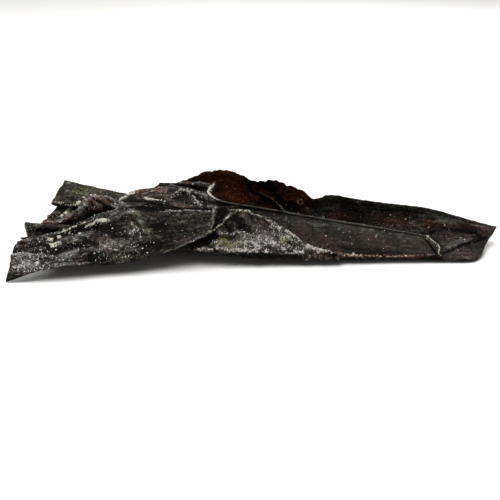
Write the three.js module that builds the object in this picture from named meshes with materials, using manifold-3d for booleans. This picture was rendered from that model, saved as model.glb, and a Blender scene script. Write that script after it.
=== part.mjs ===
import * as THREE from "three";
import Module from "manifold-3d";

// A long dried kelp blade lying folded, in millimetres, +Z up, its long way along X.
// The blade is a thin leathery sheet in five folds that run into one another. Each fold is a
// sheet lofted across a few lines. A line runs from the left end to the right end, and x, y and z
// are its evenly spaced keys, with a smooth curve between them.
const SHEET = 1.2;
const FLOOR = 0;
const NOTCH = { x: 42, depth: 5, width: 6.5, reach: 0.2 };

// The open trough: back rim, back wall, floor, rounded front foot, front wall and front rim.
const TROUGH = {
  cells: [42, 22],
  soft: 1,
  lines: [
    { x: [-66, 159], y: [58, 60, 50, 41, 34.5, 28], z: [24, 40, 32, 25.2, 20.6, 9.8] },
    { x: [-66, 158], y: [62, 65.5, 56, 45, 37, 27], z: [15, 22, 17, 14.5, 14, 9] },
    { x: [-66, 155], y: [50, 54, 46.5, 36.5, 26.5, 23], z: [2, 1, 1, 1, 1, 7] },
    { x: [-66, 150], y: [26, 25, 21, 16.5, 10.5, 16.5], z: [4, 3.5, 2.8, 1.8, 1.3, 4.6] },
    { x: [-62, 138.5], y: [1, -0.5, -0.5, -0.5, -0.5, -1], z: [12, 8, 6.2, 2.8, 2.2, 0.7] },
    { x: [-40, 20, 80, 118], y: [4, 2, 0.5, 0], z: [17, 12, 6.2, 3.4] },
    { x: [-27, -20, 25, 72, 98, 117], y: [20, 10, 8.5, 6, 4.5, 4], z: [29, 25, 19.5, 14, 11, 8] },
    { x: [-21, -24.5, -16, 10, 45, 78, 111], y: [35, 25, 17.5, 14.5, 13, 11, 9], z: [40.5, 38.5, 35, 30.5, 23.7, 18.2, 12] },
  ],
};

// The sheet over the middle: it lies over the back rim, dips into a slit and ends in a domed band.
const MIDDLE = {
  cells: [14, 16],
  soft: 0.8,
  lines: [
    { x: [-62, -22], y: [61.5, 55, 44], z: [25, 34.2, 36] },
    { x: [-60, -23], y: [51, 48.5, 38], z: [33.4, 35, 35] },
    { x: [-64, -24], y: [54, 50, 41], z: [29.5, 30.2, 30.2] },
    { x: [-74, -23], y: [45, 42, 29], z: [31.8, 35.4, 34.4] },
    { x: [-86, -20], y: [35.5, 27, 22, 18, 14], z: [28.6, 32, 31.3, 29.8, 30] },
  ],
};

// The broad front sheet: tucked under the middle, over its crest and down to its free edge. Its
// right end bends back at a fold and narrows to a tip against the front wall.
const APRON = {
  cells: [28, 11],
  soft: 0.9,
  lines: [
    { x: [-136, -10], y: [22, 30, 34, 28, 20], z: [8, 14, 20, 21, 24] },
    { x: [-142, -6], y: [11, 20, 24.5, 26, 26, 23, 20, 15, 16.5], z: [14, 14.5, 20, 25.5, 28.6, 29.4, 29.3, 31, 32] },
    { x: [-143.5, -6], y: [0, 6, 10, 12, 12, 11, 10, 9.5, 15], z: [14, 16, 22.5, 25.5, 26.8, 26.8, 26.8, 28.5, 31] },
    { x: [-145, -6], y: [-10, -8, -3, 0, 0.5, 1, 2, 4, 13.5], z: [8.5, 13, 15.5, 17, 17.2, 18.4, 20.5, 24, 30.3] },
    { x: [-146, -6], y: [-20, -18.7, -17, -14.5, -12, -8.5, -4.7, 1, 12], z: [0.7, 5.6, 8, 8.1, 7.7, 10.3, 14.6, 20.8, 29.6] },
  ],
};

// The front flap that stands against the front wall.
const FLAP = {
  cells: [18, 8],
  soft: 1,
  lines: [
    { x: [-36, 56], y: [4, 3, 3, 3], z: [15, 10.5, 8.5, 7] },
    { x: [-36, 55], y: [-2, -3.5, -3.5, -3], z: [11.5, 6.4, 4.4, 3.6] },
    { x: [-34, 54], y: [1.5, 3, 1, -3], z: [18.5, 18, 13, 6.5] },
    { x: [-30, 53], y: [12.5, 13, 11, 6.5, 0.5, -2.5], z: [25, 30.5, 30.2, 22, 11.5, 7.5] },
  ],
};

// The crumpled left end: the sheet goes back and forth in flat pleats.
const PLEATS = {
  cells: [14, 28],
  soft: 0.4,
  lines: [
    { x: [-125, -50], y: [72, 70, 62, 54], z: [30, 24.5, 22.5, 24] },
    { x: [-131, -50], y: [50, 47, 44, 42], z: [22.5, 20.5, 21.5, 22] },
    { x: [-129, -55], y: [58, 56, 54, 50], z: [17, 16.5, 17, 18] },
    { x: [-135, -66], y: [34, 35, 41, 37, 34], z: [13.6, 17, 31, 25, 22] },
    { x: [-132, -66], y: [46, 45, 43], z: [8, 10, 14] },
    { x: [-144, -80], y: [24, 25, 28, 30], z: [15.5, 14, 17, 20] },
    { x: [-140, -80], y: [33, 33, 34], z: [6, 8, 14] },
    { x: [-141, -80], y: [12, 22, 27], z: [12, 13, 20] },
  ],
};

// A smooth value through evenly spaced keys, for t from 0 to 1.
function keyed(keys, t) {
  const last = keys.length - 1;
  const place = Math.min(Math.max(t, 0), 1) * last;
  const i = Math.min(Math.floor(place), last - 1);
  const f = place - i;
  const b = keys[i];
  const c = keys[i + 1];
  const a = i > 0 ? keys[i - 1] : 2 * b - c;
  const d = i < last - 1 ? keys[i + 2] : 2 * c - b;
  const cubic = 3 * b - a - 3 * c + d;
  const square = 2 * a - 5 * b + 4 * c - d;
  return 0.5 * (2 * b + (c - a) * f + square * f * f + cubic * f * f * f);
}

// The same keys joined by straight stretches.
function straight(keys, t) {
  const place = Math.min(Math.max(t, 0), 1) * (keys.length - 1);
  const i = Math.min(Math.floor(place), keys.length - 2);
  return keys[i] + (keys[i + 1] - keys[i]) * (place - i);
}

// A point at u along the lines and v across them, where soft is 1 for round folds and 0 for creases.
function onFold({ lines, soft }, u, v) {
  const at = (axis) => {
    const keys = lines.map((line) => keyed(line[axis], u));
    return soft * keyed(keys, v) + (1 - soft) * straight(keys, v);
  };
  return new THREE.Vector3(at("x"), at("y"), at("z"));
}

// Places across the sheet that are evenly far apart.
function evenPlaces(fold, count) {
  const steps = 20 * (fold.lines.length - 1);
  const lengths = [0];
  for (let k = 1; k <= steps; k += 1) {
    let mean = 0;
    for (const u of [0.1, 0.3, 0.5, 0.7, 0.9]) {
      mean += onFold(fold, u, k / steps).distanceTo(onFold(fold, u, (k - 1) / steps)) / 5;
    }
    lengths.push(lengths[k - 1] + mean);
  }
  return Array.from({ length: count + 1 }, (_, j) => {
    const goal = (lengths[steps] * j) / count;
    const k = Math.min(Math.max(lengths.findIndex((length) => length >= goal), 1), steps);
    return (k - 1 + (goal - lengths[k - 1]) / (lengths[k] - lengths[k - 1])) / steps;
  });
}

// The sheet's middle surface as rows of points.
function loft(fold) {
  const [long, wide] = fold.cells;
  const places = evenPlaces(fold, wide);
  const rows = [];
  for (let i = 0; i <= long; i += 1) {
    rows.push(places.map((v) => onFold(fold, i / long, v)));
  }
  return rows;
}

function notchBackRim(rows) {
  for (const row of rows) {
    row.forEach((point, j) => {
      const side = Math.exp(-(((point.x - NOTCH.x) / NOTCH.width) ** 2));
      const near = Math.max(1 - j / (row.length - 1) / NOTCH.reach, 0);
      point.z -= NOTCH.depth * side * near;
    });
  }
  return rows;
}

function rowNormals(rows) {
  const long = rows.length - 1;
  const wide = rows[0].length - 1;
  return rows.map((row, i) =>
    row.map((_, j) => {
      const along = rows[Math.min(i + 1, long)][j].clone().sub(rows[Math.max(i - 1, 0)][j]);
      const across = row[Math.min(j + 1, wide)].clone().sub(row[Math.max(j - 1, 0)]);
      return along.cross(across).normalize();
    }),
  );
}

// A closed thin solid: the middle surface moved half a thickness to each side, and a rim round it.
function thicken(rows, thickness) {
  const long = rows.length;
  const wide = rows[0].length;
  const normals = rowNormals(rows);
  const points = [];
  for (const side of [0.5, -0.5]) {
    rows.forEach((row, i) => {
      row.forEach((point, j) => {
        points.push(...point.clone().addScaledVector(normals[i][j], side * thickness).toArray());
      });
    });
  }
  const top = (i, j) => i * wide + j;
  const under = (i, j) => long * wide + i * wide + j;
  const corners = [];
  const quad = (a, b, c, d) => corners.push(a, b, c, a, c, d);
  for (let i = 0; i < long - 1; i += 1) {
    for (let j = 0; j < wide - 1; j += 1) {
      quad(top(i, j), top(i + 1, j), top(i + 1, j + 1), top(i, j + 1));
      quad(under(i, j + 1), under(i + 1, j + 1), under(i + 1, j), under(i, j));
    }
  }
  for (let i = 0; i < long - 1; i += 1) {
    quad(top(i + 1, 0), top(i, 0), under(i, 0), under(i + 1, 0));
    quad(top(i, wide - 1), top(i + 1, wide - 1), under(i + 1, wide - 1), under(i, wide - 1));
  }
  for (let j = 0; j < wide - 1; j += 1) {
    quad(top(0, j), top(0, j + 1), under(0, j + 1), under(0, j));
    quad(top(long - 1, j + 1), top(long - 1, j), under(long - 1, j), under(long - 1, j + 1));
  }
  return { points: new Float32Array(points), corners: new Uint32Array(corners) };
}

const wasm = await Module();
wasm.setup();

function solid({ points, corners }) {
  return new wasm.Manifold(new wasm.Mesh({ numProp: 3, vertProperties: points, triVerts: corners }));
}

const folds = [notchBackRim(loft(TROUGH)), loft(MIDDLE), loft(APRON), loft(FLAP), loft(PLEATS)];
const blade = folds.map((rows) => solid(thicken(rows, SHEET))).reduce((whole, fold) => whole.add(fold));

const mesh = blade.getMesh();
const geometry = new THREE.BufferGeometry();
geometry.setAttribute("position", new THREE.BufferAttribute(mesh.vertProperties, 3));
geometry.setIndex(new THREE.BufferAttribute(mesh.triVerts, 1));
geometry.computeBoundingBox();
const middle = geometry.boundingBox.getCenter(new THREE.Vector3());
geometry.translate(-middle.x, -middle.y, FLOOR - geometry.boundingBox.min.z);
geometry.computeVertexNormals();

const surface = new THREE.MeshStandardMaterial({ color: 0x2b2723, roughness: 0.55, metalness: 0 });
const bladeMesh = new THREE.Mesh(geometry, surface);
bladeMesh.name = "kelp_blade";

const kelp = new THREE.Group();
kelp.add(bladeMesh);

export default kelp;
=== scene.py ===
"""A dried kelp blade lying folded on a pale table.

The blade is one thin leathery sheet. Each of its folds is a grid laid along a few lines, given its
wrinkles, and made a sheet of the blade's thickness, so its rims are real cut edges. Lengths in the
tables are millimetres along the blade (x), towards the back (y) and up (z).
Each table gives a fold's lines in order across the sheet. Its "soft" is 1 where the bends between
the lines are round and 0 where they are sharp.
"""

import math

import bpy
import numpy as np
from bpy.props import FloatProperty, FloatVectorProperty, IntProperty, PointerProperty
from mathutils import Matrix, Vector, noise


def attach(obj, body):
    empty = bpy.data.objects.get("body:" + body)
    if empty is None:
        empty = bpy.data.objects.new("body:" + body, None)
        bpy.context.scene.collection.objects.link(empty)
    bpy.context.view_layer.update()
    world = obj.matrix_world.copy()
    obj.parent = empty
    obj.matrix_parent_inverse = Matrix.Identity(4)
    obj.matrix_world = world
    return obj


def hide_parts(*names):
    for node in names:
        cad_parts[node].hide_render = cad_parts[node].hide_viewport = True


bl_info = {
    "name": "Dried Kelp Blade",
    "version": (1, 0, 0),
    "blender": (4, 5, 0),
    "location": "View3D > Sidebar > Kelp",
    "description": "Builds a folded dried kelp blade and its table",
    "category": "Add Mesh",
}

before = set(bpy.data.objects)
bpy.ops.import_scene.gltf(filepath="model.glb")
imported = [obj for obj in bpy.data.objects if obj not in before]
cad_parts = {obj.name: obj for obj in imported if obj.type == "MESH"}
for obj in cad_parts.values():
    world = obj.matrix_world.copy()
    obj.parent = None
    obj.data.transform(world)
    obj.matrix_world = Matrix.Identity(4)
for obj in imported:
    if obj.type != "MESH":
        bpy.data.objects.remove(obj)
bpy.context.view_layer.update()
MM = 0.001
# The frame's origin, in the tables' millimetres
BLADE_MIDDLE = np.array([6.461, 25.925, -0.921])

CAMERA_HEIGHT_ANGLE = math.radians(25.0)
CAMERA_ROLL = math.radians(-0.9)
CAMERA_DISTANCE = 520.0
CAMERA_AIM = np.array([0.0, 0.0, 9.3])
SENSOR = 36.0
NEAREST_SEEN = 0.01
# The picture's side in steps, and the millimetres that a step spans at the aim
PICTURE_SIDE = 500
STEP = 0.613

TABLE_SIDE = 8
TABLE_ROUGHNESS = 0.8
PAPER = (1.0, 0.995, 0.985, 1)
SKY_LIGHT = 0.22
SUN_TURN = (math.radians(8), math.radians(-14), 0)
SUN_POWER = 2.0
SUN_SPREAD = math.radians(60)
# Each softbox's name, place, side and power
SOFTBOXES = (
    ("softbox", (-0.25, -0.10, 0.95), 0.8, 6.0),
    ("left_light", (-0.75, 0.25, 0.50), 0.25, 3.0),
    ("back_light", (0.20, 0.75, 0.45), 0.25, 4.0),
)

TROUGH = {
    "soft": 1.0,
    "lines": [
        {"x": [-66, 159], "y": [58, 60, 50, 41, 34.5, 28], "z": [24, 40, 32, 25.2, 20.6, 9.8]},
        {"x": [-66, 158], "y": [62, 65.5, 56, 45, 37, 27], "z": [15, 22, 17, 14.5, 14, 9]},
        {"x": [-66, 155], "y": [50, 54, 46.5, 36.5, 26.5, 23], "z": [2, 1, 1, 1, 1, 7]},
        {"x": [-66, 150], "y": [26, 25, 21, 16.5, 10.5, 16.5], "z": [4, 3.5, 2.8, 1.8, 1.3, 4.6]},
        {"x": [-62, 138.5], "y": [1, -0.5, -0.5, -0.5, -0.5, -1], "z": [12, 8, 6.2, 2.8, 2.2, 0.7]},
        {"x": [-40, 20, 80, 118], "y": [4, 2, 0.5, 0], "z": [17, 12, 6.2, 3.4]},
        {"x": [-27, -20, 25, 72, 98, 117], "y": [20, 10, 8.5, 6, 4.5, 4],
         "z": [29, 25, 19.5, 14, 11, 8]},
        {"x": [-21, -24.5, -16, 10, 45, 78, 111], "y": [35, 25, 17.5, 14.5, 13, 11, 9],
         "z": [40.5, 38.5, 35, 30.5, 23.7, 18.2, 12]},
    ],
}
MIDDLE = {
    "soft": 0.8,
    "lines": [
        {"x": [-62, -22], "y": [61.5, 55, 44], "z": [25, 34.2, 36]},
        {"x": [-60, -23], "y": [51, 48.5, 38], "z": [33.4, 35, 35]},
        {"x": [-64, -24], "y": [54, 50, 41], "z": [29.5, 30.2, 30.2]},
        {"x": [-74, -23], "y": [45, 42, 29], "z": [31.8, 35.4, 34.4]},
        {"x": [-86, -20], "y": [35.5, 27, 22, 18, 14], "z": [28.6, 32, 31.3, 29.8, 30]},
    ],
}
APRON = {
    "soft": 0.9,
    "lines": [
        {"x": [-136, -10], "y": [22, 30, 34, 28, 20], "z": [8, 12, 18, 21, 24]},
        {"x": [-142, -6], "y": [11, 20, 24.5, 26, 26, 23, 20, 15, 16.5],
         "z": [14, 13, 17.5, 24.5, 28.6, 29.4, 29.3, 31, 32]},
        {"x": [-143.5, -6], "y": [0, 6, 10, 12, 12, 11, 10, 9.5, 15],
         "z": [14, 16, 22.5, 25.5, 26.8, 26.8, 26.8, 28.5, 31]},
        {"x": [-145, -6], "y": [-10, -8, -3, 0, 0.5, 1, 2, 4, 13.5],
         "z": [8.5, 13, 15.5, 17, 17.2, 18.4, 20.5, 24, 30.3]},
        {"x": [-146, -6], "y": [-20, -18.7, -17, -14.5, -12, -8.5, -4.7, 1, 12],
         "z": [0.7, 5.6, 8, 8.1, 7.7, 10.3, 14.6, 20.8, 29.6]},
    ],
}
FLAP = {
    "soft": 1.0,
    "lines": [
        {"x": [-36, 56], "y": [4, 3, 3, 3], "z": [15, 10.5, 8.5, 7]},
        {"x": [-36, 55], "y": [-2, -3.5, -3.5, -3], "z": [11.5, 6.4, 4.4, 3.6]},
        {"x": [-34, 54], "y": [1.5, 3, 1, -3], "z": [18.5, 18, 13, 6.5]},
        {"x": [-30, 53], "y": [12.5, 13, 11, 6.5, 0.5, -2.5], "z": [25, 30.5, 30.2, 22, 11.5, 7.5]},
    ],
}
PLEATS = {
    "soft": 0.4,
    "lines": [
        {"x": [-125, -50], "y": [72, 70, 62, 54], "z": [30, 24.5, 22.5, 24]},
        {"x": [-131, -50], "y": [50, 47, 44, 42], "z": [22.5, 20.5, 21.5, 22]},
        {"x": [-129, -55], "y": [58, 56, 54, 50], "z": [17, 16.5, 17, 18]},
        {"x": [-135, -66], "y": [34, 35, 41, 37, 34], "z": [13.6, 17, 31, 25, 22]},
        {"x": [-132, -66], "y": [45, 37, 33], "z": [8, 12, 16]},
        {"x": [-143, -80], "y": [25, 25, 28, 30], "z": [19.5, 15.5, 17, 20]},
        {"x": [-141, -80], "y": [20, 31, 33], "z": [12, 8, 14]},
        {"x": [-144, -80], "y": [14, 22, 27], "z": [13.2, 13, 20]},
    ],
}


def camera_axes():
    """The camera's right, up and backward directions."""
    rise = CAMERA_HEIGHT_ANGLE
    right = np.array([1.0, 0.0, 0.0])
    up = np.array([0.0, math.sin(rise), math.cos(rise)])
    back = np.array([0.0, -math.cos(rise), math.sin(rise)])
    turned = math.cos(CAMERA_ROLL) * right + math.sin(CAMERA_ROLL) * up
    return turned, math.cos(CAMERA_ROLL) * up - math.sin(CAMERA_ROLL) * right, back


def seen(points):
    """Where the camera sees points of the folds, in steps across and down its picture."""
    right, up, back = camera_axes()
    offset = points - (CAMERA_AIM + CAMERA_DISTANCE * back)
    scale = CAMERA_DISTANCE / STEP / -(offset @ back)
    half = PICTURE_SIDE / 2
    return np.stack([half + scale * (offset @ right), half - scale * (offset @ up)], -1)


def facing_camera(points, normals):
    """1 where a surface looks straight at the camera, -1 where it looks straight away."""
    sight = CAMERA_AIM + CAMERA_DISTANCE * camera_axes()[2] - points
    return (normals * sight).sum(axis=1) / np.linalg.norm(sight, axis=1)


def beside(view, line):
    """Distance of each seen point from a line drawn over the camera's picture."""
    nearest = np.full(len(view), np.inf)
    for start, end in zip(line[:-1], line[1:]):
        start = np.array(start, float)
        run = np.array(end, float) - start
        share = np.clip((view - start) @ run / (run @ run), 0, 1)
        away = np.linalg.norm(view - start - share[:, None] * run, axis=1)
        nearest = np.minimum(nearest, away)
    return nearest


def keyed(keys, t):
    """A smooth value at t through evenly spaced keys, given once or for each point."""
    keys = np.asarray(keys, float)
    if keys.ndim == 1:
        keys = np.repeat(keys[:, None], len(t), axis=1)
    last = len(keys) - 1
    place = np.clip(t, 0, 1) * last
    i = np.minimum(place.astype(int), last - 1)
    f = place - i

    def key(k):
        return np.take_along_axis(keys, k[None, :], 0)[0]

    b = key(i)
    c = key(i + 1)
    a = np.where(i > 0, key(np.maximum(i - 1, 0)), 2 * b - c)
    d = np.where(i < last - 1, key(np.minimum(i + 2, last)), 2 * c - b)
    cubic = 3 * b - a - 3 * c + d
    square = 2 * a - 5 * b + 4 * c - d
    return 0.5 * (2 * b + (c - a) * f + square * f**2 + cubic * f**3)


def straight(keys, t):
    """The value at t where the keys are joined by straight stretches."""
    last = len(keys) - 1
    place = np.clip(t, 0, 1) * last
    i = np.minimum(place.astype(int), last - 1)
    low = np.take_along_axis(keys, i[None, :], 0)[0]
    high = np.take_along_axis(keys, i[None, :] + 1, 0)[0]
    return low + (high - low) * (place - i)


def on_fold(fold, u, v):
    """Points of a fold, u along its lines and v across them, in millimetres."""
    axes = []
    for axis in "xyz":
        keys = np.stack([keyed(line[axis], u) for line in fold["lines"]])
        axes.append(fold["soft"] * keyed(keys, v) + (1 - fold["soft"]) * straight(keys, v))
    return np.stack(axes, -1)


PLACES_A_SPAN = 30
STATIONS = (0.1, 0.3, 0.5, 0.7, 0.9)
RIPPLE_SHIFT = 7.31
CREASE_SHIFT = 5.17
CREASE_WIDTH = 0.16


def spans(fold):
    """How many spans lie between the fold's lines."""
    return len(fold["lines"]) - 1


def across_table(fold):
    """Places across the fold and the millimetres of sheet up to each."""
    places = np.linspace(0, 1, PLACES_A_SPAN * spans(fold) + 1)
    lengths = np.zeros(len(places) - 1)
    for u in STATIONS:
        points = on_fold(fold, np.full(len(places), u), places)
        lengths += np.linalg.norm(np.diff(points, axis=0), axis=1) / len(STATIONS)
    return places, np.concatenate([[0], np.cumsum(lengths)])


def ripple(points, size, seed):
    """Smooth noise from about -1 to 1 with waves of the given size."""
    scaled = points / np.asarray(size, float) + seed * RIPPLE_SHIFT
    return np.array([noise.noise(p) for p in scaled.tolist()])


def creases(points, size, seed):
    """1 along the lines of a crumpled sheet, falling to 0 on its flats."""
    scaled = points / np.asarray(size, float) + seed * CREASE_SHIFT
    gaps = []
    for p in scaled.tolist():
        near = noise.voronoi(p)[0]
        gaps.append(near[1] - near[0])
    return np.exp(-((np.array(gaps) / CREASE_WIDTH) ** 2))


def hump(values, middle, width):
    """1 at the middle, falling off to 0 over the width."""
    return np.exp(-(((values - middle) / width) ** 2))


def ramp(values, low, high):
    """0 below low, 1 above high and smooth between."""
    t = np.clip((values - low) / (high - low), 0, 1)
    return t * t * (3 - 2 * t)


# The marks that the finish reads: skin colours, a mark of painted shade, a mark of pale wear and
# painted highlights, and an amber mark that is partly painted glow.
MARKS = ("amber", "salt", "olive", "worn_and_highlight", "painted_shade", "gloss", "coarse")
LENGTH_SAMPLES = 80
FEWEST_CELLS = 8
STROKE_WANDER = 0.85
WANDER_SIZE = 2.6
# A detail fades out where the sheet turns its side to the camera, between these two turns
EDGE_ON = 0.10
TURNED_ENOUGH = 0.48


class Sheet:
    """A fold's grid of points with what its finish needs to know at each."""

    def __init__(self, fold, cell):
        places, lengths = across_table(fold)
        middle = on_fold(fold, np.linspace(0, 1, LENGTH_SAMPLES), np.full(LENGTH_SAMPLES, 0.5))
        length = np.linalg.norm(np.diff(middle, axis=0), axis=1).sum()
        self.width = lengths[-1]
        self.cells_along = max(int(length / cell), FEWEST_CELLS)
        self.cells_across = max(int(self.width / cell), FEWEST_CELLS)
        along = np.linspace(0, 1, self.cells_along + 1)
        evenly = np.linspace(0, 1, self.cells_across + 1)
        u, w = np.meshgrid(along, evenly, indexing="ij")
        self.u = u.ravel()
        self.w = w.ravel()
        self.v = np.interp(self.w * self.width, lengths, places)
        self.points = on_fold(fold, self.u, self.v)
        self.lie = np.stack([self.points[:, 0], self.w * self.width, np.zeros(len(self.u))], -1)
        self.view = seen(self.points)
        self.high = np.zeros(len(self.u))
        self.marks = {name: np.zeros(len(self.u)) for name in MARKS}

    def normals(self):
        """The direction that the sheet faces at each point."""
        shape = (self.cells_along + 1, self.cells_across + 1, 3)
        grid = self.points.reshape(shape)
        along = np.gradient(grid, axis=0)
        across = np.gradient(grid, axis=1)
        out = np.cross(along, across).reshape(-1, 3)
        return out / np.maximum(np.linalg.norm(out, axis=1, keepdims=True), 1e-9)

    def push(self, depth, side):
        """Moves each point out of the side that shows, by its depth in millimetres."""
        self.high = depth
        self.points = self.points + self.normals() * (depth * side)[:, None]

    def mark(self, name, amount):
        """Adds to one of the marks that the finish reads."""
        self.marks[name] = self.marks[name] + amount

    def draw(self, details):
        """Creases, ridges, pale lines and spots, partly painted highlights, and lines and spots of
        painted shade, placed as the camera sees them.
        """
        relief = np.zeros(len(self.u))
        facing = np.abs(facing_camera(self.points, self.normals()))
        turned = ramp(facing, EDGE_ON, TURNED_ENOUGH)
        wander = [ripple(self.points, WANDER_SIZE, seed) for seed in (71, 72)]
        view = self.view + STROKE_WANDER * np.stack(wander, -1)
        for shape, width, height, marks in details:
            if len(shape) == 1:
                spread = (view - np.array(shape[0])) / np.array(width)
                share = np.exp(-(spread**2).sum(axis=1))
            else:
                share = np.exp(-((beside(view, shape) / width) ** 2))
            share *= turned
            relief += height * share
            for name, amount in marks.items():
                self.mark(name, amount * share)
        return relief

    @property
    def x(self):
        """Where each point lies along the blade, in millimetres."""
        return self.points[:, 0]

    def edge(self, side, width):
        """1 at a border and 0 from the width inwards, in millimetres, or in cells at the ends."""
        lengths = {
            "first": self.w * self.width,
            "last": (1 - self.w) * self.width,
            "left": self.u * self.cells_along,
            "right": (1 - self.u) * self.cells_along,
        }
        return np.clip(1 - lengths[side] / width, 0, 1)


# Each detail is a line or spot in the camera's picture, its width there, its height and its marks
# Marks of painted shade lay the shadows under overhanging folds and rims and the shade in grooves and
# gaps; many pale marks on crests and ridges are painted highlights, and amber patches on the trough's
# wall are partly painted glow.
TROUGH_DETAILS = (
    ([(253, 185), (262, 190), (272, 199), (285, 211)], 1.0, 0.5, {"worn_and_highlight": 0.65}),
    ([(251, 187), (260, 193), (270, 202), (281, 212)], 1.2, -0.5, {"painted_shade": 0.5}),
    ([(220, 189), (224, 193.5), (230, 197.5), (240, 201.5)], 1.3, 0.4, {"worn_and_highlight": 0.45}),
    # Painted shadow under the rolled rim
    ([(222, 204.5), (240, 207.3), (252, 209.5)], 3.4, -0.5, {"painted_shade": 2.0}),
    ([(256, 208), (266, 210), (280, 213)], 3.0, -0.2, {"painted_shade": 0.55}),
    ([(280, 213.5), (300, 217.5), (318, 221)], 2.4, -0.1, {"painted_shade": 0.3}),
    ([(215, 182), (212, 186), (210, 191), (212, 197)], 1.3, 0.7, {"worn_and_highlight": 0.8}),
    ([(236, 195)], (13, 6.5), 0.0, {"amber": 0.5}),
    ([(263, 183)], (11, 5.0), 0.0, {"amber": -0.25}),
    ([(222, 180)], (9, 4.0), 0.0, {"amber": 0.4}),
    ([(246, 174), (250, 184), (256, 190)], 2.0, -0.4, {"painted_shade": 0.2}),
    ([(270, 186), (276, 196), (284, 205)], 2.2, -0.4, {"painted_shade": 0.2}),
    ([(297, 205)], (15, 6.0), 0.0, {"painted_shade": 0.25, "amber": -0.25}),
    ([(275, 207)], (10, 3.0), 0.0, {"amber": 0.35}),
    ([(280, 212), (310, 217), (350, 225), (400, 233)], 1.4, -0.3, {"painted_shade": 0.4}),
    ([(443, 254.5), (452, 250.5), (460, 246), (472, 242.5), (486, 238)], 1.5, -0.9, {"painted_shade": 0.9}),
    ([(448, 248), (458, 243), (470, 239)], 2.5, 0.5, {"gloss": 0.5}),
    ([(430, 232), (445, 230), (465, 231.5), (480, 236)], 2.2, -0.4, {"painted_shade": 0.5}),
    ([(425, 239), (431, 246.5), (436, 253)], 1.3, -0.6, {"painted_shade": 1.5}),
    ([(325, 252), (345, 254.8), (385, 256.5), (410, 256), (438, 253.5)], 1.0, 0.2,
     {"worn_and_highlight": 0.5, "amber": 0.4}),
    # Painted shadow under the front wall's foot
    ([(310, 258), (345, 260), (385, 261.5), (410, 261), (440, 259)], 1.8, 0.0, {"painted_shade": 0.9}),
    ([(186, 178)], (3.0, 2.0), 0.0, {"worn_and_highlight": 1.5}),
    ([(305, 202)], (1.2, 0.9), 0.2, {"worn_and_highlight": 1.0}),
    ([(308, 205)], (0.9, 0.9), 0.2, {"worn_and_highlight": 1.0}),
    ([(311, 202.5)], (1.0, 0.8), 0.2, {"worn_and_highlight": 1.0}),
    ([(190, 183.2), (199, 183.6), (208, 184.5)], 1.0, 0.3, {"worn_and_highlight": 0.5, "amber": 0.4}),
    ([(184, 187.5), (197, 188.5), (207, 189.5)], 2.2, -0.3, {"painted_shade": 1.6}),
    ([(206, 196), (208, 202), (213, 203.5), (222, 204.5)], 2.2, -0.2, {"painted_shade": 1.3}),
)
MIDDLE_DETAILS = (
    ([(117, 204), (123, 198.5), (131, 194.5), (141, 189.5), (151, 186), (159, 184)], 0.9, 0.3,
     {"worn_and_highlight": 1.5, "salt": 0.4}),
    ([(121, 198.5), (135, 198.3), (150, 199.7), (160, 201.2), (175, 205), (186, 206.5)], 0.9, 0.3,
     {"worn_and_highlight": 0.45}),
    ([(146, 199.2), (160, 200.5)], 0.8, 0.2, {"worn_and_highlight": 1.3, "salt": 0.4}),
    ([(160, 185.5), (170, 185.5), (182, 186.5), (192, 188.5), (206, 188)], 1.7, -1.6, {"painted_shade": 1.2}),
    ([(160, 188.5), (169, 189.8)], 0.8, 0.3, {"worn_and_highlight": 0.4}),
    ([(173, 195.5), (179, 190.8), (186, 190.8), (191, 194), (196, 201), (201, 206)], 1.2, 0.9,
     {"worn_and_highlight": 0.6, "gloss": 0.4}),
    ([(182, 198)], (5.5, 4.0), -0.9, {"painted_shade": 0.8, "olive": 0.5}),
    ([(169, 190), (174, 194)], 1.5, -0.7, {"painted_shade": 0.6}),
    ([(190, 191), (197, 193.5), (205, 196)], 1.0, 0.6, {"worn_and_highlight": 0.5}),
    ([(192, 194.5), (200, 198.5), (207, 203)], 1.5, -0.9, {"painted_shade": 1.2}),
    ([(138, 193), (150, 190), (160, 191)], 3.0, 0.3, {"amber": 0.4, "worn_and_highlight": 0.3}),
    # Painted shadow just under the middle fold's lower edge
    ([(124, 203.5), (132, 202), (142, 203), (154, 205), (168, 207.5)], 2.8, -1.2,
     {"painted_shade": 2.6, "salt": -0.6, "worn_and_highlight": -0.5}),
    ([(170, 181), (190, 183)], 2.4, 0.0, {"amber": 0.2}),
)
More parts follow.
